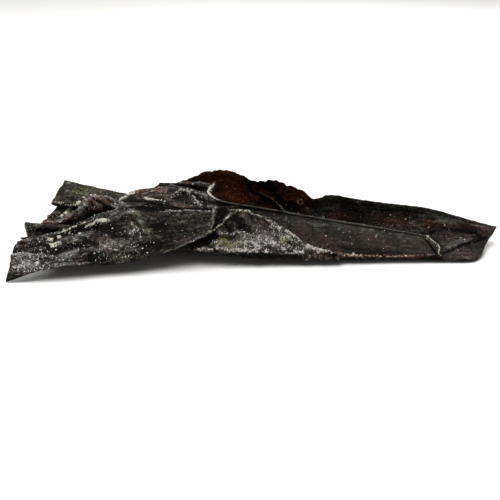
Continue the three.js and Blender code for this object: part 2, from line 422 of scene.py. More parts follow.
APRON_DETAILS = (
    ([(12, 256), (25, 255.5), (45, 256), (56, 259)], 1.5, 0.9, {"worn_and_highlight": 0.3, "salt": 0.4}),
    ([(12, 253), (25, 252.5), (44, 253)], 1.6, -0.7, {"painted_shade": 0.5}),
    ([(22, 237.5), (35, 238), (41, 243), (50, 247)], 1.3, -1.0, {"painted_shade": 1.4}),
    ([(28, 234.5), (38, 237), (43, 241), (51, 244)], 1.1, 0.8, {"worn_and_highlight": 0.5}),
    ([(23, 243)], (4.0, 3.6), -1.6, {"amber": 0.45, "olive": 0.5, "painted_shade": -0.4}),
    ([(13, 276)], (8.0, 5.0), 0.0, {"olive": 0.75, "salt": -0.2}),
    ([(27, 228)], (6.0, 6.0), 0.0, {"olive": 1.3, "worn_and_highlight": 0.4}),
    ([(18, 247), (22, 250), (28, 249)], 1.1, 0.5, {"worn_and_highlight": 0.4}),
    # Pale lines and spots along the crest: painted highlights, partly pale skin and salt
    ([(50, 232.5), (58, 233), (67, 229.3), (76, 225.5), (86, 221.5)], 0.55, 0.4, {"worn_and_highlight": 2.1}),
    ([(60, 233), (70, 230.5), (82, 229), (96, 227)], 2.4, -1.5, {"painted_shade": 1.9}),
    ([(86, 226), (92, 224), (97, 221.5), (109, 221)], 0.7, 0.4, {"worn_and_highlight": 1.7, "salt": 0.3}),
    ([(80, 236), (88, 238), (95, 241)], 1.0, 0.5, {"worn_and_highlight": 0.35}),
    ([(84, 239.5), (95, 244), (99, 247)], 1.3, -0.7, {"painted_shade": 0.8}),
    ([(62, 243), (68, 245), (75, 246)], 1.1, -0.5, {"painted_shade": 0.7}),
    ([(74, 247), (80, 250), (82, 254)], 1.1, -0.5, {"painted_shade": 0.7}),
    ([(46, 237), (51, 238.5)], 1.4, 0.2, {"worn_and_highlight": 2.6}),
    ([(59, 236.5)], (1.9, 1.4), 0.4, {"worn_and_highlight": 2.6}),
    ([(52, 246), (60, 243.6)], 1.5, 0.2, {"worn_and_highlight": 2.0}),
    ([(48, 252)], (2.2, 1.8), 0.4, {"worn_and_highlight": 0.8}),
    ([(72, 224), (76, 222)], 1.1, 0.4, {"worn_and_highlight": 2.0}),
    ([(80, 234)], (1.5, 1.2), 0.2, {"worn_and_highlight": 2.0}),
    ([(78, 250)], (2.0, 1.8), 0.2, {"worn_and_highlight": 1.0}),
    ([(106, 247)], (7, 3.0), 0.2, {"salt": 0.6}),
    ([(132, 232)], (5, 4.0), 0.2, {"salt": 0.7}),
    ([(170, 238)], (16, 9.0), 0.0, {"olive": -0.3}),
    ([(102, 221)], (4.5, 1.6), 0.2, {"worn_and_highlight": 1.7, "salt": 0.3}),
    ([(126, 206), (134, 214), (142, 222), (150, 233)], 3.0, 0.35, {"olive": 0.5}),
    ([(131, 224), (137, 227), (140, 234), (141, 240)], 1.1, 0.3, {"salt": 0.9}),
    ([(160, 212), (172, 211.3), (180, 211), (190, 211), (210, 212)], 0.9, 0.2, {"salt": 0.8}),
    ([(146, 205), (160, 207.8), (175, 208.6), (190, 209), (210, 209.4)], 1.7, -1.0, {"painted_shade": 2.2}),
    # Painted shadow under the middle fold's overhanging edge
    ([(120, 204.5), (130, 203), (145, 204), (164, 206)], 4.0, -3.4, {"painted_shade": 2.6, "salt": -0.5}),
    ([(165, 253), (180, 247.5), (200, 239.5), (210, 232.5)], 1.5, 0.6, {"worn_and_highlight": 0.15}),
    ([(226, 206), (218, 206.5), (214.5, 210), (213.5, 218), (212.5, 226), (210, 232)], 1.0, 0.9,
     {"worn_and_highlight": 0.6}),
    ([(216, 207), (224, 206.3)], 0.9, 0.2, {"worn_and_highlight": 1.0}),
    ([(223, 211), (219.5, 219), (216, 227)], 3.2, -0.8, {"painted_shade": 1.3}),
    ([(234, 210.5), (226, 219.5), (218, 227), (213, 231.5)], 0.8, 0.4, {"worn_and_highlight": 0.8}),
    ([(122, 246)], (20, 5.0), 0.0, {"salt": 0.55}),
    ([(112, 257)], (20, 6.0), 0.0, {"salt": 0.3, "olive": 0.4}),
    ([(28, 266)], (22, 9.0), 0.0, {"salt": 0.6}),
    ([(158, 228)], (12, 8.0), -0.4, {"olive": 0.2, "salt": -0.2, "painted_shade": 0.3}),
    ([(150, 246)], (22, 8.0), 0.0, {"painted_shade": 0.3}),
    ([(115, 232)], (20, 7.0), 0.0, {"painted_shade": 0.35}),
    ([(60, 264.5), (75, 262.5), (90, 261.5), (105, 263)], 0.9, -0.3, {"painted_shade": 0.7}),
)
FLAP_DETAILS = (
    ([(229, 209.4), (240, 210), (250, 212.5), (262, 217.5), (272, 222)], 0.8, 0.4, {"worn_and_highlight": 0.9}),
    ([(286, 231.3), (300, 238), (306, 241.5)], 1.2, 0.5, {"worn_and_highlight": 1.8, "salt": 0.8}),
    ([(274, 225), (280, 229)], 3.0, 0.2, {"salt": 0.6, "olive": 0.5}),
    ([(308, 245), (324, 249.5)], 3.4, 0.1, {"worn_and_highlight": 1.0, "amber": 0.3, "salt": 0.5}),
    ([(268, 242)], (34, 9.5), 0.0, {"salt": 1.0}),
    ([(228, 243)], (14, 4.5), 0.0, {"olive": 2.3, "salt": 0.05}),
    ([(286, 242)], (6, 5.0), 0.0, {"olive": 2.2, "salt": -0.5}),
    ([(232, 237)], (8, 2.5), -0.5, {"olive": 0.3, "salt": -0.35}),
    ([(215, 248), (232, 250), (256, 251.5)], 1.6, 0.3, {"worn_and_highlight": 1.0, "salt": 0.7}),
    ([(266, 251.5), (302, 252.5)], 1.6, 0.2, {"salt": 1.6, "worn_and_highlight": 0.6}),
    ([(234, 222)], (17, 10.0), 0.3, {"salt": -0.75, "gloss": -0.3, "painted_shade": 0.5}),
    ([(218, 233.5), (230, 235), (238, 231), (250, 236)], 1.2, 0.5, {"salt": 0.6, "worn_and_highlight": 0.2}),
    ([(326, 249)], (18, 4.5), 0.0, {"amber": 0.6, "salt": 0.6}),
    # Painted shadows under the front sheet's lower edge and along the flap's foot
    ([(215, 236), (206, 241), (194, 245), (180, 249)], 3.2, -0.5, {"painted_shade": 2.2, "salt": -0.7}),
    ([(197, 249), (212, 249.5)], 1.5, 0.2, {"salt": 1.1}),
    ([(200, 255), (232, 256), (262, 256), (300, 256.5)], 2.0, -0.2, {"painted_shade": 1.6, "salt": -0.8}),
)
PLEATS_DETAILS = (
    ([(66, 190)], (4.0, 3.0), 0.0, {"amber": 0.45}),
    ([(82, 191.5)], (15, 4.5), 0.0, {"olive": 0.8}),
    ([(55, 198)], (6.0, 3.5), 0.0, {"olive": 0.5, "amber": 0.3}),
    ([(48, 200.5), (56, 202.5), (65, 204), (74, 204)], 0.8, 0.3, {"worn_and_highlight": 0.9}),
    ([(50, 204.5), (60, 206), (70, 206)], 1.5, -0.5, {"painted_shade": 1.0}),
    ([(52, 218)], (8.0, 5.0), 0.0, {"amber": -0.1, "olive": 0.5, "worn_and_highlight": 0.35}),
    # Painted highlights along the ridge's crest and on its crumples
    ([(62, 217), (68, 211), (74, 206), (79, 202)], 0.9, 0.9, {"worn_and_highlight": 2.6, "salt": 0.3, "gloss": 1.2}),
    ([(66, 218.5), (72, 213), (80, 207.5)], 0.8, 0.8, {"worn_and_highlight": 1.6}),
    ([(64, 217.5), (70, 211.5), (76, 207)], 0.8, -0.9, {"painted_shade": 0.8}),
    ([(83, 198), (87, 200)], 0.8, 0.9, {"worn_and_highlight": 1.8, "salt": 0.5}),
    ([(85, 203.5), (88, 205)], 0.9, 0.9, {"worn_and_highlight": 1.7, "salt": 0.5}),
    ([(91, 196), (97, 196.5)], 0.8, 0.8, {"worn_and_highlight": 1.4, "salt": 0.5}),
    ([(86, 199), (94, 206)], 1.3, -1.2, {"painted_shade": 0.9}),
    ([(94, 199.5), (103, 204)], 1.3, -1.0, {"painted_shade": 0.8}),
    ([(98, 204)], (11.0, 6.0), 0.0, {"amber": 0.35, "gloss": 1.0, "olive": -0.4}),
    ([(88, 209), (97, 212)], 2.0, -0.5, {"painted_shade": 0.8}),
    ([(84, 211)], (7.0, 5.0), 0.0, {"olive": 0.7, "amber": -0.5}),
    ([(28, 230)], (7.0, 7.0), 0.0, {"olive": 1.0, "worn_and_highlight": 0.35, "salt": 0.4}),
    ([(36, 230), (60, 231)], 1.6, -0.6, {"painted_shade": 1.2}),
)
RING_PLACE = (300.5, 199.5)
RING_RADIUS = 2.3
RING_WIDTH = 0.9
BEND_SIZE = 22


def along_only(values):
    """The same values as places on a line, so that noise varies with them alone."""
    return np.stack([values, np.zeros(len(values)), np.zeros(len(values))], -1)


def folds(points, size, seed):
    """Sharp ridges between smooth hollows, from about -0.6 to 0.4."""
    return 0.4 - np.abs(ripple(points, size, seed)) * 1.6


def bent(lie, amount, seed):
    """The sheet's own coordinates, pushed about so that wrinkles wander."""
    moved = lie.copy()
    moved[:, 1] += amount * ripple(lie, BEND_SIZE, seed)
    return moved


def trough_sheet(cell, wrinkle):
    """The trough: a torn back wall, a floor, and a front wall with a thin pale lip."""
    sheet = Sheet(TROUGH, cell)
    x = sheet.x.copy()
    lie = bent(sheet.lie, 3.0, 60)
    wall = 1 - ramp(sheet.v, 0.10, 0.28)
    front = ramp(sheet.v, 0.66, 0.80)
    dips = 5.0 * hump(x, 42, 6.5) + 4.2 * hump(x, 3, 8.5) - 1.5 * hump(x, 18, 6)
    torn = ripple(along_only(x), 5.5, 3) + 0.8 * ripple(along_only(x), 2.4, 4)
    torn += 0.6 * ripple(along_only(x), 1.6, 9)
    ragged = (1 - ramp(x, 30, 70)) * 0.8 + 0.2
    sheet.points[:, 2] -= dips * np.clip(1 - sheet.w / 0.2, 0, 1)
    sheet.points[:, 2] += 1.2 * torn * ragged * sheet.edge("first", 9)
    roomy = 1 - 0.7 * front
    depth = 0.7 * ripple(lie, (34, 17, 20), 1) * roomy
    depth += 0.55 * folds(lie, (30, 7, 9), 2) * roomy
    depth += 0.25 * front * ripple(lie, (40, 12, 9), 8)
    depth += 0.6 * sheet.edge("first", 6) * ripple(lie, (7, 60, 9), 5) * ragged
    depth -= 0.35 * creases(lie, (30, 16, 20), 6) * roomy
    lip = (1 - sheet.w) * sheet.width
    depth += front * (1.3 * hump(lip, 0, 1.6) - 0.7 * hump(lip, 4.0, 2.0))
    depth += sheet.draw(TROUGH_DETAILS)
    ring = np.linalg.norm(sheet.view - np.array(RING_PLACE), axis=1)
    ring_line = hump(ring, RING_RADIUS, RING_WIDTH) * wall
    depth += ring_line
    sheet.push(depth * wrinkle, 2 * ramp(sheet.v, 0.5, 0.66) - 1)
    # Painted glow: the back wall is painted amber as light coming through the thin sheet, strongest at
    # its left just under the torn top and fading downwards, and in a band lower down at its right.
    inner = 1 - ramp(x, 30, 52)
    down = sheet.w * sheet.width
    glow = inner * (1.45 - 0.9 * ramp(down, 5, 24)) + 0.8 * (1 - inner) * hump(down, 20, 9)
    sheet.mark("amber", wall * glow * (0.85 + 0.7 * ripple(lie, (14, 9, 9), 7)))
    reach = ramp(x, 20, 50) * (1 - ramp(x, 108, 122))
    foot = hump(sheet.v, 4.5 / spans(TROUGH), 0.05) * reach
    sheet.mark("amber", 0.55 * foot)
    # Painted shade along the front wall's bottom fold
    sheet.mark("painted_shade", 1.3 * hump(sheet.v, 4.02 / spans(TROUGH), 0.03) * reach)
    sheet.mark("salt", 0.04 + 0.04 * front)
    sheet.mark("olive", 0.1 + 0.15 * front + 0.2 * wall * (1 - inner))
    sheet.mark("worn_and_highlight", 0.2 * sheet.edge("first", 1.5) + 0.3 * foot)
    hook = hump(x, -25, 4.5)
    faded = 1 - 0.55 * ramp(x, 70, 100)
    pale = (0.14 + 0.91 * hook + 0.16 * hump(x, -12, 10)) * faded * front
    rim_width = 1.8 * (1 + 0.8 * hook)
    sheet.mark("worn_and_highlight", pale * np.clip(1 - lip / rim_width, 0, 1) ** 0.5)
    sheet.mark("worn_and_highlight", 3.0 * sheet.edge("right", 2.6) * front)
    sheet.mark("worn_and_highlight", 1.5 * ring_line)
    sheet.mark("painted_shade", 0.8 * hump(ring, 0, 1.6) * wall)
    sheet.mark("gloss", 0.12 * wall - 0.9 * front * hump(lip, 0, 2))
    sheet.mark("amber", 0.3 * front * hump(lip, 0, 2))
    sheet.mark("coarse", 0.75 - 0.4 * front)
    # The next two lines change only the height that the finish reads, not the sheet, so they paint
    # light and shade: lighter in a band about 14 mm under the front rim and darker at the front wall's
    # left, and lighter in a band near the top of the back wall's right part.
    sheet.high = sheet.high + 0.45 * front * hump(lip, 14, 12) - 0.2 * front * (1 - ramp(x, 0, 60))
    sheet.high += 0.7 * wall * (1 - inner) * hump(down, 5, 9)
    return sheet


def middle_sheet(cell, wrinkle):
    """The domed fold over the middle."""
    sheet = Sheet(MIDDLE, cell)
    lie = bent(sheet.lie, 2.0, 61)
    depth = 0.55 * ripple(lie, (16, 9, 9), 11)
    depth += 0.9 * folds(lie, (16, 5, 9), 12)
    depth -= 0.35 * creases(lie, (12, 8, 9), 13)
    depth += sheet.draw(MIDDLE_DETAILS)
    sheet.push(depth * wrinkle, -np.ones(len(depth)))
    jag = ripple(along_only(sheet.lie[:, 1]), 3.2, 14)
    sheet.points[:, 0] += 1.3 * jag * sheet.edge("left", 8)
    sheet.mark("amber", 0.16 + 0.25 * ripple(lie, (9, 6, 9), 15))
    sheet.mark("salt", 0.30 + 0.2 * sheet.edge("last", 4))
    sheet.mark("olive", 0.4)
    sheet.mark("worn_and_highlight", 0.6 * sheet.edge("left", 2.4) + 0.4 * sheet.edge("last", 1.2))
    sheet.mark("worn_and_highlight", 0.6 * sheet.edge("first", 1.5))
    sheet.mark("gloss", 0.25)
    sheet.mark("coarse", 0.9)
    return sheet


def apron_sheet(cell, wrinkle):
    """The broad front sheet, smooth at its right and crumpled at its left."""
    sheet = Sheet(APRON, cell)
    lie = bent(sheet.lie, 3.0, 62)
    x = sheet.x.copy()
    left = 1 - ramp(x, -110, -55)
    crest = hump(sheet.w, 0.30, 0.16) * (1 - ramp(x, -60, -40))
    depth = 0.8 * ripple(lie, (26, 13, 9), 21)
    depth += 1.5 * folds(lie, (34, 8, 9), 22) * (0.12 + left)
    depth += 0.9 * folds(lie, (13, 4.2, 9), 27) * (0.06 + 0.5 * left + 0.6 * crest)
    depth -= 0.6 * creases(lie, (22, 9, 9), 23) * (0.1 + left)
    depth += 0.14 * ripple(lie, (5, 2.4, 9), 24)
    depth += sheet.draw(APRON_DETAILS)
    sheet.push(depth * wrinkle, -np.ones(len(depth)))
    jag = ripple(along_only(sheet.lie[:, 1]), 4.0, 25)
    sheet.points[:, 0] += 1.0 * jag * sheet.edge("left", 7)
    hem = ripple(along_only(x), 11, 26)
    sheet.points[:, 2] += 0.55 * hem * sheet.edge("last", 6)
    sheet.mark("amber", 0.15 * left)
    sheet.mark("salt", 0.16 + 0.22 * left)
    sheet.mark("olive", 0.2 + 0.3 * ramp(x, -100, -40))
    sheet.mark("worn_and_highlight", 0.2 * sheet.edge("last", 1.2) + 0.5 * sheet.edge("left", 1.2))
    sheet.mark("gloss", 0.5 * crest * left + 0.15 * left - 0.05)
    sheet.mark("coarse", 1.0 + 0.2 * left)
    # Painted shade: more of the apron's creases are darkened, a little less at its left.
    sheet.mark("painted_shade", 0.22 - 0.1 * left)
    return sheet


def flap_sheet(cell, wrinkle):
    """The front flap with its clumps of salt."""
    sheet = Sheet(FLAP, cell)
    lie = bent(sheet.lie, 2.0, 63)
    x = sheet.x.copy()
    depth = 0.55 * ripple(lie, (15, 8, 9), 31)
    depth += 0.7 * folds(lie, (9, 4.5, 9), 32)
    depth -= 0.45 * creases(lie, (13, 8, 9), 33)
    depth += sheet.draw(FLAP_DETAILS)
    sheet.push(depth * wrinkle, np.ones(len(depth)))
    right = ramp(x, 18, 46)
    sheet.mark("amber", 0.2 * right + 0.05)
    clump = folds(lie, (11, 4.5, 9), 34) + 0.7 * ripple(lie, (5, 3, 9), 35)
    sheet.mark("salt", 0.32 + 0.5 * clump)
    sheet.mark("olive", 0.35 - 0.4 * clump)
    # Painted shade in the hollows between the salt clumps
    sheet.mark("painted_shade", 0.5 * ramp(0.1 - clump, 0.1, 0.6))
    sheet.mark("worn_and_highlight", 0.5 * sheet.edge("last", 1.3) + 0.1 * right)
    sheet.mark("gloss", 0.15)
    sheet.mark("coarse", 0.95)
    return sheet


def pleats_sheet(cell, wrinkle):
    """The jagged pleats, with one crumpled ridge among them."""
    sheet = Sheet(PLEATS, cell)
    lie = bent(sheet.lie, 3.0, 64)
    ridge = hump(sheet.v, 3.1 / spans(PLEATS), 0.09)
    depth = 0.7 * ripple(lie, (20, 9, 9), 41)
    depth += 1.0 * folds(lie, (22, 6, 9), 42)
    depth -= 0.5 * creases(lie, (16, 7, 9), 43)
    depth += ridge * (2.6 * folds(lie, (12, 5, 9), 44) + 1.8 * ripple(lie, (9, 9, 9), 46))
    depth += sheet.draw(PLEATS_DETAILS)
    sheet.push(depth * wrinkle, -np.ones(len(depth)))
    jag = ripple(along_only(sheet.lie[:, 1]), 4.5, 45)
    sheet.points[:, 0] += 1.6 * jag * sheet.edge("left", 8)
    tucked = ramp(sheet.v, 0.30, 0.36)
    sheet.mark("amber", 0.5 * ridge * (1 - ramp(sheet.x, -92, -84)))
    sheet.mark("amber", 0.25 * tucked * sheet.edge("left", 14))
    sheet.mark("salt", 0.15 + 0.25 * ridge)
    sheet.mark("olive", 0.5 - 0.25 * tucked)
    sheet.mark("worn_and_highlight", 0.75 * sheet.edge("left", 1.6) + 0.4 * sheet.edge("first", 1.2))
    sheet.mark("gloss", 0.2 + 0.5 * ridge)
    sheet.mark("coarse", 0.9)
    return sheet


class Field:
    """A number that varies over a surface, with its maths written as Python expressions."""

    def __init__(self, finish, socket):
        self.finish = finish
        self.socket = socket

    def maths(self, operation, first, second):
        settings = {"operation": operation}
        return self.finish.field("ShaderNodeMath", settings, {0: first, 1: second})

    def __add__(self, other):
        return self.maths("ADD", self, other)

    def __radd__(self, other):
        return self.maths("ADD", other, self)

    def __sub__(self, other):
        return self.maths("SUBTRACT", self, other)

    def __rsub__(self, other):
        return self.maths("SUBTRACT", other, self)

    def __mul__(self, other):
        return self.maths("MULTIPLY", self, other)

    def __rmul__(self, other):
        return self.maths("MULTIPLY", other, self)


class Finish:
    """The nodes of a material, or of the light all round."""

    def __init__(self, owner):
        self.owner = owner
        owner.use_nodes = True
        self.tree = owner.node_tree
        self.tree.nodes.clear()

    def node(self, kind, settings=None, inputs=None):
        """A node of that type, with its settings first and then its sockets' values or links."""
        node = self.tree.nodes.new(kind)
        for key, value in (settings or {}).items():
            setattr(node, key, value)
        for key, value in (inputs or {}).items():
            value = value.socket if isinstance(value, Field) else value
            if isinstance(value, bpy.types.NodeSocket):
                self.tree.links.new(value, node.inputs[key])
            else:
                node.inputs[key].default_value = value
        return node

    def field(self, kind, settings=None, inputs=None, output=0):
        """A number that a new node gives."""
        return Field(self, self.node(kind, settings, inputs).outputs[output])

    def mark(self, name):
        """One of the marks laid on the sheet."""
        return self.field("ShaderNodeAttribute", {"attribute_name": name}, output="Fac")

    def steps(self, value, low, high):
        """0 where the value is low, 1 where it is high and smooth between."""
        settings = {"interpolation_type": "SMOOTHSTEP"}
        inputs = {"Value": value, "From Min": low, "From Max": high}
        return self.field("ShaderNodeMapRange", settings, inputs)

    def blend(self, share, first, second, how="MIX"):
        """The first tone, giving way to the second as the share goes from 0 to 1."""
        settings = {"data_type": "RGBA", "blend_type": how, "clamp_factor": True}
        return self.node("ShaderNodeMix", settings, {0: share, 6: first, 7: second}).outputs[2]

    def shade(self, share, tone, darkest, lightest):
        """The tone multiplied by the darkest number where the share is 0, the lightest where 1."""
        low = self.blend(1.0, tone, colour((darkest,) * 3), "MULTIPLY")
        high = self.blend(1.0, tone, colour((lightest,) * 3), "MULTIPLY")
        return self.blend(share, low, high)

    def stretched(self, coordinates, scale):
        """Coordinates scaled differently each way."""
        settings = {"operation": "MULTIPLY"}
        return self.node("ShaderNodeVectorMath", settings, {0: coordinates, 1: scale}).outputs[0]

    def grain(self, coordinates, scale, detail, rough):
        """Cloudy noise from 0 to 1."""
        inputs = {"Vector": coordinates, "Scale": scale, "Detail": detail, "Roughness": rough}
        return self.field("ShaderNodeTexNoise", None, inputs, "Fac")

    def done(self, surface, output="ShaderNodeOutputMaterial"):
        """The owner, with the surface as its look."""
        self.node(output, None, {"Surface": surface.outputs[0]})
        return self.owner


def new_finish(name):
    """An empty material, to be given its nodes."""
    return Finish(bpy.data.materials.new(name))


def colour(rgb):
    """The tone with full opacity, as the sockets want it."""
    return (*rgb, 1.0)


# The cells in a metre and the rarity of the large and the small salt specks
SALT_SPECKS = ((420.0, 0.975), (900.0, 0.93))
THICKEST_BLOOM = 0.9
CRYSTAL_ROUGHNESS = 0.35
FAINT_SHADE = 0.97


def salt_bloom(skin, place, salt):
    """How thickly salt covers the skin: a crumbly film with single specks on it."""
    crumbs = skin.grain(place, 620, 6, 0.75)
    clumps = skin.grain(place, 330, 3, 0.6)
    film = skin.steps((crumbs - 0.5) * 1.6 + (clumps - 0.5) * 1.1 + salt * 0.26, 0.32, 0.50)
    bloom = film * THICKEST_BLOOM
    for scale, rarity in SALT_SPECKS:
        cells = skin.node("ShaderNodeTexVoronoi", None, {"Vector": place, "Scale": scale})
        picked = skin.node("ShaderNodeSeparateColor", None, {0: cells.outputs["Color"]})
        chance = Field(skin, picked.outputs[0]) + salt * 0.22
        reach = Field(skin, picked.outputs[1]) * 0.16 + 0.10
        spot = skin.steps(reach - Field(skin, cells.outputs["Distance"]), 0.0, 0.06)
        speck = spot * skin.steps(chance, rarity, rarity + 0.02) * THICKEST_BLOOM
        settings = {"operation": "MAXIMUM", "use_clamp": True}
        bloom = skin.field("ShaderNodeMath", settings, {0: bloom, 1: speck})
    return bloom


def skin_finish(name, looks, amber_gain, edge=False):
    """The dried skin: leathery and nearly black, amber where thin and partly painted with the glow of
    light through it, with salt, pale scuffs and edges, painted highlights, and painted shade in its
    hollows.
    """
    skin = new_finish(name)
    place = skin.node("ShaderNodeTexCoord").outputs["Object"]
    lie = skin.node("ShaderNodeAttribute", {"attribute_name": "lie"}).outputs["Vector"]
    amber = skin.mark("amber") * amber_gain
    salt = skin.mark("salt")
    olive = skin.mark("olive")
    worn_and_highlight = skin.mark("worn_and_highlight")
    high = skin.mark("high")
    painted_shade = skin.mark("painted_shade")
    clouds = skin.grain(place, 70, 4, 0.6)
    patches = skin.grain(place, 190, 4, 0.65)
    flecks = skin.grain(place, 900, 4, 0.7)
    fibres = skin.grain(skin.stretched(lie, (60, 420, 1)), 1, 5, 0.62)
    pores = skin.grain(place, 1500, 3, 0.6)
    puckers = skin.grain(skin.stretched(lie, (260, 620, 1)), 1, 3, 0.5)
    plum = skin.steps(clouds, 0.38, 0.62)
    tone = skin.blend(plum, colour(looks.skin_dark), colour(looks.skin_plum))
    greenish = skin.steps(patches + olive * 0.42, 0.62, 0.95)
    tone = skin.blend(greenish, tone, colour(looks.skin_olive))
    mossy = skin.steps(olive + (flecks - 0.5) * 2.0, 0.9, 1.6)
    tone = skin.blend(mossy * 0.9, tone, colour(looks.moss))
    # Painted highlight: the raised places are lightened towards slate grey, partly as scuffed skin.
    rubbed_and_highlit = skin.steps(high * 0.65 + (fibres - 0.5) * 1.6 + (patches - 0.5) * 0.8, 0.0, 0.75)
    tone = skin.blend(rubbed_and_highlit * 0.75, tone, colour(looks.skin_slate))
    # Amber where the sheet is thin: partly its own colour, partly painted glow of light coming through
    # it.
    glow = skin.steps(amber + (patches - 0.5) * 0.7, 0.18, 0.85)
    tone = skin.blend(glow, tone, colour(looks.amber))
    bright = skin.steps(amber + (patches - 0.5) * 0.4, 0.85, 1.4)
    tone = skin.blend(bright, tone, colour(looks.amber_bright))
    # Painted shade: the low places, the creases and the marks of painted shade are darkened towards
    # the crease-shade colour.
    shaded_hollows = skin.steps((0 - high) * 0.9 + (puckers - 0.5) * 1.6 + painted_shade * 1.2, 0.08, 0.8)
    tone = skin.blend(shaded_hollows * 0.95, tone, colour(looks.crease_shade))
    mottle = skin.steps(skin.grain(place, 560, 4, 0.8) + (fibres - 0.5) * 0.5, 0.40, 0.62)
    mottle = (mottle - 0.5) * skin.mark("coarse") + 0.5
    tone = skin.shade(mottle, tone, 0.2, 2.1)
    # Pale scuffs and cut edges, and painted highlights on crests and the ridge.
    crumbly = skin.steps(flecks, 0.42, 0.58)
    if edge:
        chafed_and_highlit = skin.steps(worn_and_highlight * (0.4 + crumbly) + (patches - 0.5) * 0.8, 0.20, 1.1)
    else:
        chafed_and_highlit = skin.steps(worn_and_highlight * (0.15 + 1.1 * crumbly) + (patches - 0.5) * 0.7, 0.35, 1.05)
    tone = skin.blend(chafed_and_highlit * 0.9, tone, colour(looks.pale_edge_and_highlight))
    dust = skin.steps(flecks + salt * 0.6 + (clouds - 0.5) * 0.6, 0.74, 1.2)
    tone = skin.blend(dust * 0.35, tone, colour(looks.dust))
    bloom = salt_bloom(skin, place, salt)
    tone = skin.blend(bloom, tone, colour(looks.salt))
    height = fibres * 0.5 + puckers * 0.4 + mottle * 0.3 + pores * 0.1 + bloom * 0.3 + chafed_and_highlit * 0.2
    bump = skin.node("ShaderNodeBump", None,
                     {"Strength": 1.0, "Distance": looks.bump_depth, "Height": height})
    shiny = skin.grain(place, 260, 3, 0.6) + high * 0.25 + (skin.mark("gloss") - 0.5) * 0.3
    glints = skin.steps(shiny - shaded_hollows * 0.5, 0.46, 0.60) * (1 - bloom)
    inputs = {"Base Color": tone, "Roughness": looks.skin_roughness, "Normal": bump.outputs[0],
              "Specular IOR Level": looks.sheen}
    matt = skin.node("ShaderNodeBsdfPrincipled", None, inputs)
    inputs.update({"Roughness": looks.glint_roughness, "Specular IOR Level": looks.glint})
    glossy = skin.node("ShaderNodeBsdfPrincipled", None, inputs)
    inputs = {0: glints, 1: matt.outputs[0], 2: glossy.outputs[0]}
    return skin.done(skin.node("ShaderNodeMixShader", None, inputs))


def plain_finish(name, tone, roughness):
    """A matt surface with the faintest unevenness."""
    plain = new_finish(name)
    place = plain.node("ShaderNodeTexCoord").outputs["Object"]
    cloud = plain.grain(place, 3.0, 2, 0.5)
    darker = tuple(FAINT_SHADE * part for part in tone)
    mixed = plain.blend(cloud, colour(tone), colour(darker))
    inputs = {"Base Color": mixed, "Roughness": roughness}
    return plain.done(plain.node("ShaderNodeBsdfPrincipled", None, inputs))


def grain_finish(looks):
    """White salt crystals."""
    salt = new_finish("salt_crystal")
    place = salt.node("ShaderNodeTexCoord").outputs["Object"]
    tint = salt.blend(salt.grain(place, 400, 2, 0.5), colour(looks.crystal), colour(looks.salt))
    inputs = {"Base Color": tint, "Roughness": CRYSTAL_ROUGHNESS}
    return salt.done(salt.node("ShaderNodeBsdfPrincipled", None, inputs))


def finish_named(name, make):
    """The finish of that name, made the first time that it is asked for."""
    return bpy.data.materials.get(name) or make()


def skin_finishes(looks):
    """The finishes of the sheet's two faces and of its cut rims."""
    outside = finish_named("kelp_outside", lambda: skin_finish("kelp_outside", looks, 1.0))
    inside = finish_named("kelp_inside", lambda: skin_finish("kelp_inside", looks, 1.15))
    edge = finish_named("kelp_edge", lambda: skin_finish("kelp_edge", looks, 1.0, edge=True))
    return [outside, inside, edge]


# The share of each mark that is kept on the far side, and where that side begins and ends
FAR_SIDE = {"amber": 0.3, "salt": 0.6, "worn_and_highlight": 0.3, "painted_shade": 0.3}
FAR_TURN = -0.15
NEAR_TURN = 0.05
TABLE_GAP = 0.00005
RIM_BAND = 3.0
RIM_THINNING = 0.4
SMOOTH_ANGLE = math.radians(50)


def fade_far_side(mesh):
    """Lightens the marks on the side of the sheet that the camera doesn't see."""
    count = len(mesh.vertices)
    places = np.empty(count * 3)
    normals = np.empty(count * 3)
    mesh.vertices.foreach_get("co", places)
    mesh.vertices.foreach_get("normal", normals)
    points = places.reshape(-1, 3) / MM + BLADE_MIDDLE
    shown = ramp(facing_camera(points, normals.reshape(-1, 3)), FAR_TURN, NEAR_TURN)
    for name, kept in FAR_SIDE.items():
        values = np.empty(count, np.float32)
        mesh.attributes[name].data.foreach_get("value", values)
        values *= kept + (1 - kept) * shown
        mesh.attributes[name].data.foreach_set("value", values.astype(np.float32))


